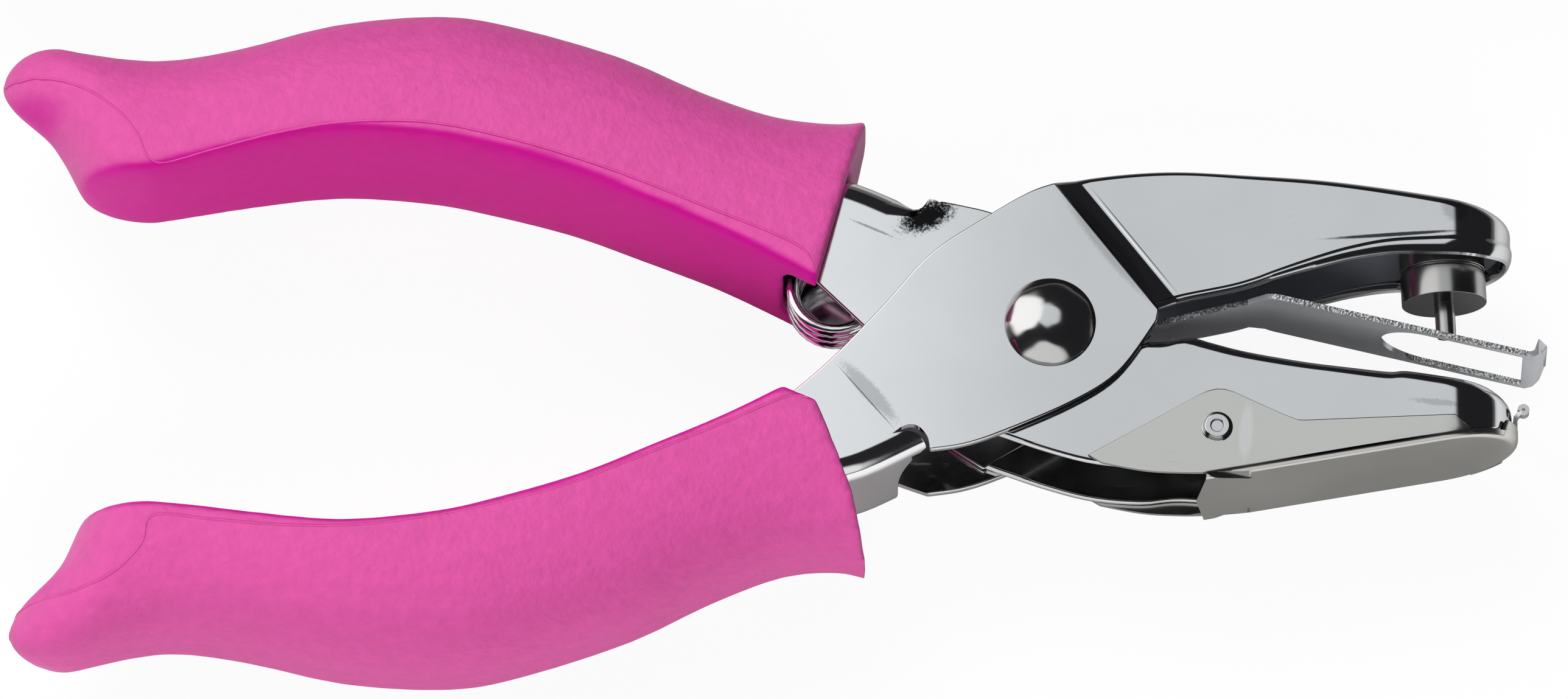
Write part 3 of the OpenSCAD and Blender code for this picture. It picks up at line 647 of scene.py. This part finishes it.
# Stripper: a bent leaf of thin sheet that holds the paper off the pin, with a slot round
# the pin. It is thinner than its solid, and its edges show the bright grain of the cut.
LEAF_THINNED = 0.28 * MM
stripper = take_copy("stripper_plate", "stripper_leaf")
upper_side = set()
for face in stripper.data.polygons:
    if face.normal.y > 0.7:
        upper_side.update(face.vertices)
for index in upper_side:
    stripper.data.vertices[index].co.y -= LEAF_THINNED
stripper.data.update()
ease_edges(stripper, 0.1 * MM, 55)
for face in stripper.data.polygons:
    face.material_index = 1 if abs(face.normal.z) > 0.9 else 0
cut_grain = bpy.data.materials.new("cut_edge_grain")
cut_grain.use_nodes = True
tree = cut_grain.node_tree
grain = noise(tree, add_node(tree, "ShaderNodeTexCoord").outputs["Object"], 4500)
grain_bump = add_node(tree, "ShaderNodeBump", {"Height": grain, "Distance": 0.1 * MM})
feed(tree, tree.nodes["Principled BSDF"], {
    "Metallic": 1, "Roughness": 0.3, "Base Color": ramp(tree, grain, 0.42, 0.6, 0.3, 0.95),
    "Normal": grain_bump.outputs["Normal"]})
leaf_chrome = steel_look("leaf_chrome", (0.88, 0.89, 0.93), 0.2, 0.03, metal=0.55)
finish_piece(stripper, leaf_chrome, "lower_lever", 42, ["stripper_plate"],
             cut_grain)

# Chip tray: a folded tray of thin satin sheet under the lower jaw. Two wings go up to its
# hinge pin, whose ends are spread over them. A low rim goes round the nose, and a curled
# tab opens it.
TRAY_HALF, TRAY_SHEET = 6.93, 0.5
wing_top = drawn_line([(3.5, -12.8), (10.6, -8.8), (14.1, -6.8), (15.6, -6.3), (16.9, -6.5),
                       (18.4, -7.2), (20.0, -7.95), (21.9, -8.85), (22.8, -9.2),
                       (23.3, -9.38)]) + [[38.4, -8.75], [39.2, -10.45]]
wing_low = drawn_line([(1, -12.4), (3.5, -13.26), (8.5, -14.3), (12.3, -14.55), (15.4, -14.5),
                       (18.8, -14.3)])


def tray_floor(x):
    """Height of the tray's bottom at x."""
    return -14.4 + (x - 18.6) * math.tan(math.radians(9.8))


def tray_edge(x):
    """Height of the tray's free edge: a wing, then the low rim, then the front wall."""
    if x < 39.2:
        return height_at(wing_top, x)
    return -8.3 if x > 42.7 else tray_floor(x) + 0.4


tray = press_channel(
    "chip_tray_pressed", crown=tray_floor, edge=tray_edge, rear=(9.0, 3.5), up=-1,
    fold=lambda x: 0.7, thick=TRAY_SHEET, half=TRAY_HALF, nose_x=REACH,
    lip=lambda x: (0, 0.12, 0.2))
# What is cut from under each wing: its low outline, within the slot where the wing bends.
bend_slot = [(1, 0), (13.7, 0), (14.6, 6.9), (18.6, 4.4), (18.8, 4.6), (18.8, 8.2), (1, 8.2)]
for side in (1, -1):
    under_wing = [(x, y, 0) for x, y in wing_low] + [(18.8, -18, 0), (1, -18, 0)]
    relief = block(under_wing, [(x, y, 9 * side) for x, y, _ in under_wing])
    combine(relief, block([(x, -17, z * side) for x, z in bend_slot],
                          [(x, -12, z * side) for x, z in bend_slot]), "INTERSECT")
    combine(tray, relief)
finish_piece(tray, satin_nickel, "tray", 32, ["chip_tray"])
# The tab is a strip that stands up from the front wall, necks in and curls over.
tab_line = [(43.66, -8.6), (43.66, -7.6), (43.72, -7.1), (43.95, -6.8)]
for k in range(13):
    a = math.radians(230 + 27 * k)
    tab_line.append((44.45 + 0.36 * math.cos(a), -6.4 + 0.36 * math.sin(a)))
tab_half = [0.8, 0.6, 0.45, 0.4] + [0.55] * 13
tab_shape = bmesh.new()
sides = [[tab_shape.verts.new(from_rivet(x, y, z * half))
          for (x, y), half in zip(tab_line, tab_half)] for z in (-1, 1)]
for i in range(len(tab_line) - 1):
    tab_shape.faces.new((sides[0][i], sides[0][i + 1], sides[1][i + 1], sides[1][i]))
tab = as_piece(tab_shape, "chip_tray_tab")
modify(tab, "SOLIDIFY", thickness=0.42 * MM, offset=0)
finish_piece(tab, satin_nickel, "tray", 50, ["chip_tray"])
pin = take_copy("tray_hinge_pin", "tray_hinge_pin_turned")
ease_edges(pin, 0.08 * MM)
finish_piece(pin, chrome, "lower_lever", 30, ["tray_hinge_pin"])
# The pin's ends are spread by a hollow tool: each ring's radius, and how far out it lies.
HINGE_X, HINGE_Y = RIVET_X + 15.6 * MM, RIVET_Y - 10.1 * MM
SWAGE_RINGS = ((0.02, 0.26), (0.12, 0.25), (0.54, 0.28), (0.62, 0.16), (0.72, 0.18),
               (0.82, 0.35), (0.95, 0.38), (1.06, 0.22), (1.13, 0.03), (1.20, 0.03),
               (1.30, 0.13), (1.42, 0.11), (1.50, -0.05))
for side, name in ((1, "tray_pin_swage_near"), (-1, "tray_pin_swage_far")):
    swage_shape = bmesh.new()
    circles = []
    for r, rise in SWAGE_RINGS:
        circles.append([swage_shape.verts.new((
            HINGE_X + r * math.cos(math.radians(a)) * MM,
            HINGE_Y + r * math.sin(math.radians(a)) * MM,
            MID_Z + side * (TRAY_HALF + rise) * MM)) for a in range(0, 360, 9)])
    for inner, outer in zip(circles, circles[1:]):
        for k in range(40):
            swage_shape.faces.new((inner[k], outer[k], outer[(k + 1) % 40],
                                   inner[(k + 1) % 40]))
    swage_shape.faces.new(circles[0])
    swage_shape.faces.new(circles[-1])
    bmesh.ops.recalc_face_normals(swage_shape, faces=swage_shape.faces)
    finish_piece(as_piece(swage_shape, name), chrome, "lower_lever", 60,
                 ["tray_hinge_pin"])

# Return spring: round wire, three turns and two straight legs that lie in the handles.
COIL_X, COIL_Y, COIL_RADIUS, COIL_PITCH = -20, 4.9, 4.05, 1.8
TURNS, LEG_UP, LEG_DOWN = 3, 57, -40
UPPER_LEG, LOWER_LEG, WIRE = 13, 23.5, 1.3
sweep = 360 * TURNS + LEG_UP - LEG_DOWN
coil_length = COIL_PITCH * sweep / 360


def on_wire(angle, past, z):
    """The coil's point at an angle, or one past it on the leg that leaves the coil there."""
    a = math.radians(angle)
    return (COIL_X + COIL_RADIUS * math.cos(a) + past * math.sin(a),
            COIL_Y + COIL_RADIUS * math.sin(a) - past * math.cos(a), z)


wire_line = [on_wire(LEG_UP, -UPPER_LEG * k / 20, coil_length / 2) for k in range(20, 0, -1)]
wire_line += [on_wire(LEG_UP - sweep * k / 108, 0, coil_length * (0.5 - k / 108))
              for k in range(109)]
wire_line += [on_wire(LEG_DOWN, LOWER_LEG * k / 32, -coil_length / 2) for k in range(1, 33)]


def round_wire(name, line, thickness):
    """A closed round wire along a line, in millimetres from the rivet."""
    wire_data = bpy.data.curves.new(name, "CURVE")
    wire_data.dimensions = "3D"
    wire_data.bevel_depth = thickness / 2 * MM
    wire_data.bevel_resolution = 3
    wire_data.use_fill_caps = True
    wire_run = wire_data.splines.new("POLY")
    wire_run.points.add(len(line) - 1)
    for point, (x, y, z) in zip(wire_run.points, line):
        point.co = (*from_rivet(x, y, z), 1)
    wire = bpy.data.objects.new(name, wire_data)
    bpy.context.collection.objects.link(wire)
    select_only(wire)
    bpy.ops.object.convert(target="MESH")
    wire = bpy.context.object
    bpy.ops.object.mode_set(mode="EDIT")
    bpy.ops.mesh.select_all(action="SELECT")
    bpy.ops.mesh.remove_doubles(threshold=0.001 * MM)
    bpy.ops.object.mode_set(mode="OBJECT")
    bpy.ops.object.shade_smooth_by_angle(angle=math.radians(60))
    wire.data.materials.clear()
    return wire


spring = round_wire("return_spring_wire", wire_line, WIRE)
spring.data.materials.append(chrome)
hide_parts("return_spring")
leg_start = Vector(from_rivet(*on_wire(LEG_DOWN, 0, 0)))
leg_start += Vector((-0.643, -0.766, 0)) * MM
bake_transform(spring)

# Grips: soft vinyl sleeves, moulded round the handles, with a raised parting line along
# the near side. Their outsides are finely grained, with a paler pink as painted sheen, and
# their inner faces smooth, with a darker pink as painted shade. The packed solid is
# remeshed fine and smoothed, which rounds its mouth and its heel.
vinyl = bpy.data.materials.new("pink_vinyl")
vinyl.use_nodes = True
tree = vinyl.node_tree
place = add_node(tree, "ShaderNodeTexCoord").outputs["Object"]
normal = add_node(tree, "ShaderNodeNewGeometry").outputs["Normal"]
facing_y = add_node(tree, "ShaderNodeSeparateXYZ", {0: normal}).outputs["Y"]
above_y = add_node(tree, "ShaderNodeSeparateXYZ", {0: place}).outputs["Y"]
which_grip = ramp(tree, above_y, RIVET_Y - 2 * MM, RIVET_Y + 2 * MM, -1, 1)
# Painted light: the grained faces take a paler pink as painted sheen, and the smooth inner
# faces, which face the other grip, a darker, deeper pink as painted shade.
grained_and_painted_sheen = ramp(tree, calc(tree, "MULTIPLY", facing_y, which_grip), -0.8, -0.3, smooth=True)
grain_bump = add_node(tree, "ShaderNodeBump", {
    "Height": noise(tree, place, 1500, 5), "Distance": 0.3 * MM,
    "Strength": calc(tree, "MULTIPLY", grained_and_painted_sheen, 0.5)})
mottled_and_painted_light = add_node(tree, "ShaderNodeVectorMath", {
    0: mix_colours(tree, grained_and_painted_sheen, (0.58, 0.002, 0.28, 1), (0.62, 0.080, 0.315, 1)),
    "Scale": ramp(tree, noise(tree, place, 800, 4), 0.3, 0.7, 0.95, 1.05),
}, operation="SCALE")
feed(tree, tree.nodes["Principled BSDF"], {
    "Base Color": mottled_and_painted_light.outputs["Vector"], "Normal": grain_bump.outputs["Normal"],
    "Roughness": 0.5, "IOR": 1.3})
SEAMS = {
    "upper_grip": ((-22.1, 4.7, 9.7), (-24.0, 7.0, 9.9), (-32.5, 10.6, 10.3),
                   (-42.4, 14.4, 11.0), (-52.3, 17.3, 11.4), (-58.9, 18.5, 11.4),
                   (-65.5, 18.5, 11.3), (-72.1, 17.7, 10.6), (-78.7, 16.3, 9.5),
                   (-82.9, 15.3, 8.8), (-84.6, 15.8, 9.2), (-85.6, 18.1, 9.1),
                   (-87.6, 20.7, 8.6), (-90.9, 23.3, 7.2), (-94.7, 25.0, 4.3),
                   (-97.8, 25.3, 0.6)),
    "lower_grip": ((-22.6, -7.9, 9.9), (-24.8, -8.1, 10.0), (-32.5, -11.6, 10.3),
                   (-39.1, -14.5, 10.8), (-45.6, -17.2, 11.2), (-52.2, -19.0, 11.3),
                   (-58.7, -20.3, 11.3), (-65.3, -21.1, 11.3), (-71.9, -20.9, 10.8),
                   (-78.4, -20.1, 10.0), (-83.8, -19.5, 9.3), (-84.9, -22.2, 9.1),
                   (-87.6, -24.8, 8.3), (-91.6, -26.2, 6.4), (-94.9, -26.1, 4),
                   (-97.8, -26.2, 0)),
}
HEELS = {"upper_grip": (-96.2, 25, 0), "lower_grip": (-96.2, -26, 0)}
HEEL_REACH = 6 * MM
for node, body in (("upper_grip", "lower_lever"), ("lower_grip", "upper_lever")):
    sleeve = take_copy(node, node + "_sleeve")
    modify(sleeve, "REMESH", mode="VOXEL", voxel_size=0.42 * MM)
    modify(sleeve, "SMOOTH", factor=0.5, iterations=14)
    heel = sleeve.vertex_groups.new(name="heel")
    tip = Vector(from_rivet(*HEELS[node])).xy
    for corner in sleeve.data.vertices:
        near = max(0, 1 - (corner.co.xy - tip).length / HEEL_REACH)
        heel.add([corner.index], near * near * (3 - 2 * near), "REPLACE")
    modify(sleeve, "SMOOTH", factor=0.5, iterations=40, vertex_group=heel.name)
    modify(sleeve, "DISPLACE", mid_level=0, strength=1 * MM, vertex_group=heel.name)
    bpy.ops.object.shade_smooth()
    sleeve.data.materials.clear()
    sleeve.data.materials.append(vinyl)
    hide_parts(node)
    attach(sleeve, body)
    seam_line = []
    for point in drawn_line(SEAMS[node], 8):
        _, on_skin, outward, _ = sleeve.closest_point_on_mesh(from_rivet(*point))
        sunk = on_skin - outward * 0.03 * MM
        seam_line.append((sunk - Vector((RIVET_X, RIVET_Y, MID_Z))) / MM)
    seam = round_wire(node + "_seam", seam_line, 0.26)
    seam.data.materials.append(vinyl)
    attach(seam, body)
